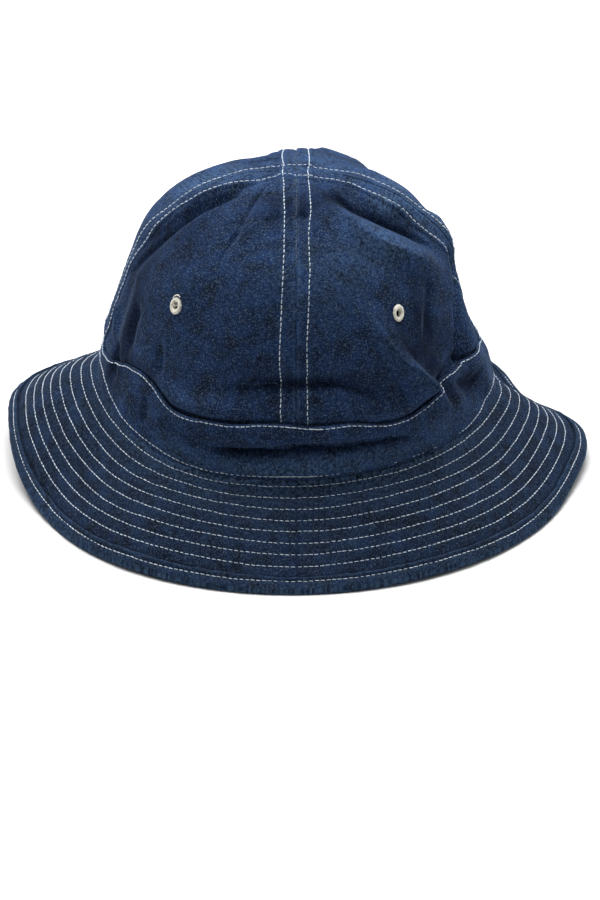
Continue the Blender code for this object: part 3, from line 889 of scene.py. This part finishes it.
def crown_panel(place, quarter):
    """One panel of the crown, tucked under the band and turned in at its seams."""
    sign_right = 1 if quarter in (0, 1) else -1
    columns, rows = PANEL_MESHES[place.split("_")[0]]
    part = np.linspace(0, 1, columns + 1)
    part = part - SEAM_CROWDING * np.sin(2 * pi * part) / (2 * pi)
    azimuth = pi / 2 * (quarter + part)
    start = (PANEL_TUCK * band_top(azimuth) / whole_climb(azimuth))[:, None]
    outer = start + (1 - start) * np.linspace(0, 1, rows + 1)
    inner = start + (1 - start) * np.linspace(0, 1, LINING_ROWS + 1)
    turns = panel_turns(quarter, part, outer)
    outside = crown_cloth(turns, outer)
    turns_in = panel_turns(quarter, part, inner)
    inside = crown_inside(turns_in, inner)
    gap = 0.01 * MM
    for sheet in (outside, inside):
        sheet[..., 0] = sign_right * np.maximum(sign_right * sheet[..., 0], gap)
    right, back = flat_place(turns, outer)
    far = np.minimum(np.abs(right), np.abs(behind_seam(right, back, outer)))
    folds = -fold_depth(turns, outer)
    crest = smooth_step(folds, 1.0 * MM, 3.2 * MM)
    # Painted shade where this is above 0, painted light where it is below
    painted_tone = painted_shading(turns, outer)
    wear_and_painted_light = 0.20 * hump(far - 0.9 * MM, 0.7)
    wear_and_painted_light += 0.12 * hump(far - SEAM_ROW, 1.2)
    # Worn seams and fold crests, together with painted light from the light patches
    wear_and_painted_light = np.clip(wear_and_painted_light + 0.12 * crest - np.minimum(painted_tone, 0), 0, 1)
    # Painted shade in the creases and in the shaded patches
    painted_shade = np.clip(painted_crease_shade(turns, outer) + np.maximum(painted_tone, 0), 0, 1)
    middle = pi / 2 * (quarter + 0.5)
    loops = np.concatenate([outside, inside[:, ::-1]], axis=1)
    maps = np.concatenate([panel_map(turns, outer, middle), panel_map(turns_in, inner, middle)[:, ::-1]],
                          axis=1)
    values = {"wear_and_painted_light": lined(wear_and_painted_light, inner), "painted_shade": lined(painted_shade, inner)}
    return panel_mesh(place, loops, maps, values, outer, inner)


def panel_mesh(place, loops, maps, values, outer, inner):
    """Builds a panel with a hole through both its faces under the eyelet."""
    count, width = loops.shape[:2]
    rows, lining = outer.shape[1], inner.shape[1]
    index = np.arange(count * width).reshape(count, width)
    turn = radians(EYELETS[place][0])
    climb = EYELETS[place][1] * MM
    centre = crown_cloth(np.array([turn]), np.array([climb / whole_climb(turn)]))[0]
    faces = []
    for start, stop in ((0, rows), (rows, rows + lining)):
        near, far = index[:-1, start:stop], index[1:, start:stop]
        quads = np.stack([near[:, :-1], far[:, :-1], far[:, 1:], near[:, 1:]], -1)
        points = loops.reshape(-1, 3)[quads].mean(axis=2)
        keep = np.linalg.norm(points - centre, axis=-1) > EYELET_CUT
        faces.append(quads[keep])
    for first, last in ((rows - 1, rows), (rows + lining - 1, 0)):
        faces.append(np.stack([index[:-1, first], index[1:, first], index[1:, last], index[:-1, last]], -1))
    for ring, back in ((index[0], True), (index[-1], False)):
        outer_rows = ring[:rows]
        picks = np.linspace(rows + lining - 1, rows, rows).round().astype(int)
        inner_rows = ring[picks]
        quads = np.stack([outer_rows[:-1], outer_rows[1:], inner_rows[1:], inner_rows[:-1]], -1)
        faces.append(quads[:, ::-1] if back else quads)
    faces = np.concatenate(faces)
    panel = "crown_panel_" + place
    return build_mesh(panel + "_cloth", loops.reshape(-1, 3), faces, maps.reshape(-1, 2)[faces], values,
                      DENIM, [panel])


for quarter, place in enumerate(("front_right", "back_right", "back_left", "front_left")):
    crown_panel(place, quarter)


def front_seam(azimuth):
    """Relief of the seam that joins a ring's ends at the front: a groove beside a lapped edge."""
    across = turned(azimuth - FRONT_SEAM) * HEAD_HALF_WIDTH / MM
    groove = 0.28 * MM * np.exp(-((across / 0.5) ** 2))
    lapped = 0.30 * MM * np.exp(-across / 5.0) * (across > 0)
    return np.where(np.abs(across) < 25, lapped, 0) - groove


def seam_shade(azimuth):
    """Painted shade in the groove of the front seam and on the lower cloth beside it, from 0 to 1."""
    across = turned(azimuth - FRONT_SEAM) * HEAD_HALF_WIDTH / MM
    groove = 0.5 * np.exp(-((across / 0.6) ** 2))
    return groove + 0.14 * np.exp(-(((across + 1.5) / 6) ** 2)) * (across < 0)


def band_relief(azimuth, climb):
    """Relief of the band over the crown's cloth under it."""
    top = band_top(azimuth)
    turns = azimuth / (2 * pi)
    upper = 0.25 * MM * hump(climb - top + BAND_TOP_ROW, 0.6)
    foot = 0.25 * MM * hump(climb - foot_row(azimuth), 0.6)
    soft = 0
    for height, cells, high, seed in ((0.45, 44, 16, 80), (0.25, 110, 9, 81), (0.10, 240, 3, 82)):
        soft = soft + height * MM * ripples(turns * cells, climb / (high * MM), seed, cells)
    return soft - upper - foot + front_seam(azimuth)


def band_place(azimuth, share):
    """The band's outer face at a share of its height."""
    climb = share * band_top(azimuth)
    up = climb / whole_climb(azimuth)
    seams = BAND_LAP + BAND_CLOTH + band_relief(azimuth, climb)
    smooth = smooth_crown(azimuth, up)
    normal = normals(smooth_crown, azimuth, up)
    return smooth + (seams - fold_depth(azimuth, up))[..., None] * normal


def band():
    azimuth = lap_turns()
    rows = np.concatenate([[0.0, 0.01, 0.03], np.linspace(0.055, 0.945, BAND_ROWS), [0.97, 0.99, 1.0]])
    turns, share = np.meshgrid(azimuth, rows, indexing="ij")
    outer = band_place(turns, share)
    normal = normals(band_place, turns, share, BAND_STEP)
    rounding = (np.clip(np.abs(share - 0.5) - 0.455, 0, 1) / 0.045) ** 2
    sink = 0.55 * BAND_CLOTH * (1 - np.sqrt(np.clip(1 - rounding, 0, 1)))
    outer = outer - sink[..., None] * normal
    picks = np.linspace(0, len(rows) - 1, BAND_LINING_ROWS).round().astype(int)
    inner = band_place(turns[:, picks], share[:, picks]) - BAND_CLOTH * normal[:, picks]
    loops = np.concatenate([outer, inner[:, ::-1]], axis=1)
    height = share * band_top(turns)
    flat = np.stack([height, turns * HEAD_HALF_WIDTH], -1)
    maps = np.concatenate([flat, flat[:, picks][:, ::-1]], axis=1)
    up = height / whole_climb(turns)
    # Painted shade where this is above 0, painted light where it is below
    painted_tone = painted_shading(turns, up)
    # Wear along the band's upper edge, together with painted light from the light patches
    edge = 0.06 * hump(band_top(turns) - height, 0.9) - np.minimum(painted_tone, 0)
    # Painted shade in the creases, in the front seam's groove and in the shaded patches
    shade = np.maximum(painted_crease_shade(turns, up), seam_shade(turns))
    shade = np.clip(shade + np.maximum(painted_tone, 0), 0, 1)
    values = {"wear_and_painted_light": lined(edge, inner), "painted_shade": lined(shade, inner)}
    return sweep("band_cloth", loops, maps, values, DENIM, ["band"])


band()


def brim_map(azimuth, out):
    """Where places of the brim lie on its flat cloth."""
    edge, _ = head_line(azimuth)
    return edge * (1 + out / BRIM_MAP)[..., None]


def brim():
    azimuth = lap_turns()
    rows = np.linspace(0, BRIM_WIDTH - BINDING_CLOTH - CLEARANCE, BRIM_MESH_ROWS)
    turns, out = np.meshgrid(azimuth, rows, indexing="ij")
    turns_in, out_in = np.meshgrid(azimuth, rows[::2], indexing="ij")
    upper = brim_cloth(turns, out)
    under = brim_place(turns_in, out_in, -2 * BRIM_PLY - CLEARANCE - 0.4 * brim_relief(turns_in, out_in))
    loops = np.concatenate([upper[:, ::-1], under], axis=1)
    maps = np.concatenate([brim_map(turns, out)[:, ::-1], brim_map(turns_in, out_in)], axis=1)
    # Painted shadow: a dark line on the brim along the binding's inner edge, where the binding's step casts
    # shade
    painted_edge_shadow = 0.9 * hump(out - BRIM_WIDTH + BINDING_WIDTH + 0.3 * MM, 0.5)
    # Painted shade in the front seam's groove and along the binding's edge
    shade = (seam_shade(turns) + painted_edge_shadow)[:, ::-1]
    # Painted light on the brim near its root, strongest at the front, lifting the shade that the crown and
    # band cast there
    front = np.exp(-((turned(turns) / radians(52)) ** 2))
    lightening = (0.10 + 0.45 * front) * hump(out, 5)
    lightening += 0.28 * front * hump(out, 16)
    values = {"painted_shade": lined(shade, under), "wear_and_painted_light": lined(lightening[:, ::-1], under)}
    return sweep("brim_cloth", loops, maps, values, SHADED_BRIM_DENIM, ["brim_upper", "brim_under"])


brim()


def binding():
    azimuth = lap_turns()
    top = CLEARANCE + BINDING_CLOTH
    bottom = -BRIM_CLOTH
    start = BRIM_WIDTH - BINDING_WIDTH
    middle = (top + bottom) / 2
    half = (top - bottom) / 2
    turn = BRIM_WIDTH - half
    section = [(start + 0.4 * MM, 0.1 * MM), (start, top - 0.5 * MM), (start + 0.25 * MM, top - 0.12 * MM)]
    section += [(out, top) for out in np.linspace(start + 0.6 * MM, turn, 12)]
    section += [(turn + half * sin(a), middle + half * cos(a)) for a in np.linspace(0, pi, 10)[1:-1]]
    section += [(out, bottom) for out in np.linspace(turn, start, 8)]
    section += [(start, bottom + 0.9 * MM), (BRIM_WIDTH - BINDING_CLOTH, bottom + 0.9 * MM),
                (BRIM_WIDTH - BINDING_CLOTH, top - 0.9 * MM)]
    outs, lifts = np.transpose(section[::-1])
    turns, out = np.meshgrid(azimuth, outs, indexing="ij")
    _, lift = np.meshgrid(azimuth, lifts, indexing="ij")
    upper = smooth_step(lift, -0.5 * MM, 0.5 * MM)
    spin = turns / (2 * pi)
    pucker = 0.20 * MM * ripples(spin * 240 + out / (9 * MM), out / (5 * MM), 91, 240)
    row = BINDING_PULL * hump(out - BINDING_ROW - row_wander(turns, 9), 0.8)
    ridge = 0.35 * MM * hump(out - start - 1.2 * MM, 0.9)
    relief = (pucker - row + ridge) * upper
    stray = 0.35 * MM * ripples(spin * 60, spin * 0, 93, 60)
    stray = stray + 0.25 * MM * ripples(spin * 200, spin * 0, 94, 200)
    near_start = 1 - smooth_step(out, start, start + 3 * MM)
    loops = brim_place(turns, out + stray * near_start, lift + relief)
    round_map = turns * BINDING_MAP
    flat = np.stack([round_map + out * 0.7 + lift, round_map - out * 0.7 - lift], -1)
    edge = 0.10 + 0.45 * smooth_step(out, BRIM_WIDTH - 2.2 * MM, BRIM_WIDTH - 0.6 * MM)
    edge = edge + 0.10 * hump(out - start, 0.7) * upper
    return sweep("binding_cloth", loops, flat, {"wear_and_painted_light": edge}, SHADED_BRIM_DENIM, ["brim_binding"])


binding()


def stitches(name, rows, share=STITCH_SHARE, radius=THREAD_RADIUS):
    """Dashes of thread along rows. A row is a line of places and the normals there."""
    profile = np.array([-1.0, -0.82, -0.4, 0.4, 0.82, 1.0])
    height = np.array([-0.55, 0.15, 0.52, 0.52, 0.15, -0.55]) * radius / 0.6
    girth = np.array([0.45, 0.9, 1.0, 1.0, 0.9, 0.45]) * radius
    sides = THREAD_SIDES
    ring = 2 * pi * np.arange(sides) / sides
    all_points, all_faces, all_uv = [], [], []
    base = 0
    for path, normal in rows:
        steps = np.concatenate([[0], np.cumsum(np.linalg.norm(np.diff(path, axis=0), axis=1))])
        count = int(steps[-1] / STITCH_PITCH)
        dice = np.random.default_rng(len(path) + count)
        pitch = steps[-1] / count
        centre = (np.arange(count) + 0.5 + dice.uniform(-0.06, 0.06, count)) * pitch
        half = 0.5 * share * pitch * dice.uniform(0.92, 1.08, count)
        at = centre[:, None] + half[:, None] * profile
        place, up = (np.stack([np.interp(at, steps, line[:, k]) for k in range(3)], -1)
                     for line in (path, normal))
        up = unit(up)
        side = unit(np.cross(unit(place[:, -1:] - place[:, :1]), up))
        skew = dice.uniform(-0.10, 0.10, count)[:, None] * MM + profile * 0.05 * MM
        plump = 0.80 + 0.36 * np.clip(np.abs(place[:, :1, 0]) / SIDE_REACH, 0, 1)
        place = place + side * skew[..., None] + up * height[:, None]
        circle = (side[:, :, None] * np.cos(ring)[:, None] * 1.05
                  + up[:, :, None] * np.sin(ring)[:, None] * 0.85)
        points = place[:, :, None] + circle * (plump * girth)[:, :, None, None]
        index = base + np.arange(points[..., 0].size).reshape(points.shape[:3])
        near, far = index[:, :-1], index[:, 1:]
        quads = np.stack([near, far, np.roll(far, -1, axis=2), np.roll(near, -1, axis=2)], -1)
        uv = np.stack(np.broadcast_arrays(at[:, :, None], np.arange(sides + 1) / sides * 2 * pi * radius), -1)
        corner = np.stack([uv[:, :-1, :-1], uv[:, 1:, :-1], uv[:, 1:, 1:], uv[:, :-1, 1:]], axis=3)
        all_points.append(points.reshape(-1, 3))
        all_faces.append(quads.reshape(-1, 4))
        all_uv.append(corner.reshape(-1, 4, 2))
        for ends, flip in ((index[:, 0], True), (index[:, -1], False)):
            for corners in THREAD_CAPS:
                cap = ends[:, corners]
                all_faces.append(cap if flip else cap[:, ::-1])
                all_uv.append(np.zeros((len(cap), 4, 2)))
        base += points[..., 0].size
    return build_mesh(name, np.concatenate(all_points), np.concatenate(all_faces), np.concatenate(all_uv),
                      {}, THREAD, ())


def brim_normals(azimuth, out):
    """Upward normals of the brim without its relief."""
    turn = 0.002
    ahead = brim_place(azimuth + turn, out, 0) - brim_place(azimuth - turn, out, 0)
    inward = brim_place(azimuth, out - 0.5 * MM, 0) - brim_place(azimuth, out + 0.5 * MM, 0)
    return unit(np.cross(ahead, inward))


def brim_row(out, seed):
    line = out + row_wander(ROUND, seed)
    return brim_cloth(ROUND, line), brim_normals(ROUND, line)


brim_lines = [brim_row(out, number) for number, out in enumerate(BRIM_ROWS)]
stitches("brim_stitching", brim_lines, BRIM_STITCH_SHARE)

binding_line = BINDING_ROW + row_wander(ROUND, 9)
binding_path = brim_place(ROUND, binding_line, CLEARANCE + BINDING_CLOTH - BINDING_PULL)
stitches("binding_stitching", [(binding_path, brim_normals(ROUND, binding_line))], BRIM_STITCH_SHARE)


def band_row(share_of, azimuth):
    share = share_of(azimuth)
    return band_place(azimuth, share), normals(band_place, azimuth, share, BAND_STEP)


def top_share(azimuth):
    top = band_top(azimuth)
    return (top - BAND_TOP_ROW + 0.5 * row_wander(azimuth, 12)) / top


def foot_share(azimuth):
    return (foot_row(azimuth) + 0.5 * row_wander(azimuth, 13)) / band_top(azimuth)


band_rows = [band_row(top_share, ROUND), band_row(foot_share, ROUND)]
# The ends of both rows are sewn twice at the front
band_rows.append(band_row(top_share, np.linspace(radians(-6.2), radians(6.6), 80)))
band_rows.append(band_row(foot_share, np.linspace(radians(-9), radians(5), 80)))
stitches("band_stitching", band_rows, radius=BAND_THREAD_RADIUS)


def seam_path(side, lengthwise):
    """Places along a row to one side of a seam, from the band over the top and down to the band."""
    part = np.linspace(0, 1, 401)[:, None]
    halves = []
    for half in (0, 1):
        if lengthwise:
            start = pi * half if side > 0 else 2 * pi - pi * half
            end = pi / 2 if side > 0 else 3 * pi / 2
        else:
            start = SIDE_SEAMS[half][0]
            end = pi if side > 0 else 2 * pi * half
        turns = start + (end - start) * part + 0 * SHARES
        share = SHARES + 0 * turns
        right, back = flat_place(turns, share)
        along = share * whole_climb(turns)
        if lengthwise:
            line = side * right - seam_wander(along + HALF_SHIFT * (back >= 0), side, LENGTHWISE)
        else:
            line = side * behind_seam(right, back, share)
            line -= seam_wander(along + HALF_SHIFT * (right <= 0), side, CROSSWISE)
            if side > 0:
                line = line / np.interp(SHARES, *REAR_ROW_SHARES)
        crossed = (line[0] < SEAM_ROW) & (line[-1] >= SEAM_ROW)
        found = [np.interp(SEAM_ROW, line[:, k], turns[:, k]) for k in np.flatnonzero(crossed)]
        halves.append((np.array(found), SHARES[crossed]))
    turns = np.concatenate([halves[0][0], halves[1][0][::-1]])
    shares = np.concatenate([halves[0][1], halves[1][1][::-1]])
    keep = shares > (band_top(turns) - 0.5 * MM) / whole_climb(turns)
    turns, shares = turns[keep], shares[keep]
    return crown_cloth(turns, shares), normals(smooth_crown, turns, shares)


seam_rows = [seam_path(side, lengthwise) for lengthwise in (True, False) for side in (-1, 1)]
stitches("crown_stitching", seam_rows, radius=CROWN_THREAD_RADIUS)


class Strands:
    """Thin tubes of thread that make one closed mesh."""

    def __init__(self):
        self.points, self.faces, self.maps = [], [], []

    def add(self, path, across, widths, thickness):
        """Tube along a path of places, with its width along the direction across."""
        base = len(self.points)
        sides = THREAD_SIDES
        for k, (spot, width) in enumerate(zip(path, widths)):
            ahead = path[min(k + 1, len(path) - 1)] - path[max(k - 1, 0)]
            rise = np.cross(ahead / np.linalg.norm(ahead), across)
            for m in range(sides):
                a = 2 * pi * m / sides
                self.points.append(spot + MM * (width * cos(a) * across + thickness * sin(a) * rise))
        for k in range(len(path) - 1):
            for m in range(sides):
                corners = ((k, m), (k, m + 1), (k + 1, m + 1), (k + 1, m))
                self.faces.append([base + row * sides + turn % sides for row, turn in corners])
                self.maps.append([(row * MM, turn * MM / 3) for row, turn in corners])
        for start, back in ((base, True), (base + (len(path) - 1) * sides, False)):
            for corners in THREAD_CAPS:
                cap = [start + corner for corner in corners]
                self.faces.append(cap[::-1] if back else cap)
                self.maps.append([(0, 0)] * 4)


def eyelet(place):
    """Buttonhole stitches worked round a hole: strands of thread laid over its edge."""
    azimuth, climb, lean, breadth = EYELETS[place]
    turn = np.array([radians(azimuth)])
    share = climb * MM / whole_climb(turn)
    centre = crown_cloth(turn, share)[0]
    outward = normals(smooth_crown, turn, share, 0.004)[0]
    basis = Vector(outward).to_track_quat("Z", "Y").to_matrix()
    level, rising = np.array(basis.col[0]), np.array(basis.col[1])
    side = level * cos(radians(lean)) - rising * sin(radians(lean))
    up = rising * cos(radians(lean)) + level * sin(radians(lean))
    dice = np.random.default_rng(int(azimuth))
    strands = Strands()
    for number in range(EYELET_STRANDS):
        angle = 2 * pi * number / EYELET_STRANDS + dice.uniform(-0.03, 0.03)
        tangent = -side * sin(angle) + up * cos(angle)
        edge = EYELET_EDGE + dice.uniform(-0.15, 0.15)
        track = ((2.1, -1.9), (1.95, -0.6), (2.05, 0.30), (2.5, 0.75), (3.1, 0.85), (edge - 0.1, 0.5),
                 (edge + 0.05, 0.0), (edge, -0.4))
        stretched = side * cos(angle) * breadth + up * sin(angle) * EYELET_HEIGHT
        path = [centre + MM * (r * stretched + h * outward) for r, h in track]
        strands.add(path, tangent, [0.42 if r > 2.4 else 0.30 for r, _ in track], 0.34)
    if place == "front_left":
        for track, width in LOOSE_ENDS:
            path = [centre + MM * (x * side + y * up + h * outward) for x, y, h in track]
            strands.add(path, up, [width] * len(path), width)
    return build_mesh("eyelet_" + place + "_thread", np.array(strands.points), np.array(strands.faces),
                      np.array(strands.maps), {}, EYELET_THREAD, ["eyelet_" + place])


for place in EYELETS:
    eyelet(place)


FLOOR_REACH = 6.0
FLOOR_COLOUR = (0.64, 0.64, 0.64, 1.0)


def floor():
    mesh = bpy.data.meshes.new("floor")
    mesh.from_pydata([(x * FLOOR_REACH, y * FLOOR_REACH, 0) for x, y in ((-1, -1), (1, -1), (1, 1), (-1, 1))],
                     [], [[0, 1, 2, 3]])
    material, _, _ = new_material("floor", {
        "Base Color": FLOOR_COLOUR, "Roughness": 0.9, "Specular IOR Level": 0.1})
    mesh.materials.append(material)
    ground = bpy.data.objects.new("floor", mesh)
    bpy.context.collection.objects.link(ground)


floor()


def softbox(name, place, target, size, power):
    lamp = bpy.data.lights.new(name, "AREA")
    lamp.shape = "RECTANGLE"
    lamp.size, lamp.size_y = size
    lamp.energy = power
    holder = bpy.data.objects.new(name, lamp)
    bpy.context.collection.objects.link(holder)
    holder.location = place
    holder.rotation_euler = (Vector(target) - Vector(place)).to_track_quat("-Z", "Y").to_euler()


softbox("top_light", (-0.15, 0.50, 1.9), (0, 0.1, 0.0), (1.8, 1.3), 83)
softbox("left_light", (-1.5, 0.75, 0.8), (0, 0, 0.05), (1.0, 1.0), 8)
softbox("right_light", (1.5, 0.75, 0.8), (0, 0, 0.05), (1.0, 1.0), 11)

world = bpy.data.worlds.new("world")
bpy.context.scene.world = world
world.use_nodes = True
world.node_tree.nodes["Background"].inputs["Color"].default_value = (1.0, 1.0, 1.0, 1.0)
world.node_tree.nodes["Background"].inputs["Strength"].default_value = 0.25

# The camera looks down by its elevation from a distance in metres, at a picture measured in pixels
ELEVATION = radians(24.0)
DISTANCE = 1.2
TARGET = Vector((0.0, HEAD_SET_BACK, 0.060))
FOCAL = 2376.0
PICTURE_HEIGHT = 900
SENSOR = 36
# How far the target lies above and to the left of the picture's middle
TARGET_ABOVE = 103.6
TARGET_LEFT = 4.2
camera_data = bpy.data.cameras.new("camera")
camera_data.lens = FOCAL / PICTURE_HEIGHT * SENSOR
camera_data.sensor_width = SENSOR
camera_data.clip_start = 0.05
camera = bpy.data.objects.new("camera", camera_data)
bpy.context.collection.objects.link(camera)
camera.location = TARGET + DISTANCE * Vector((0, -cos(ELEVATION), sin(ELEVATION)))
pitch = ELEVATION + np.arctan(TARGET_ABOVE / FOCAL)
yaw = np.arctan(TARGET_LEFT / FOCAL)
camera.rotation_euler = (pi / 2 - pitch, 0, -yaw)
bpy.context.scene.camera = camera
bpy.context.scene.view_settings.view_transform = "Standard"
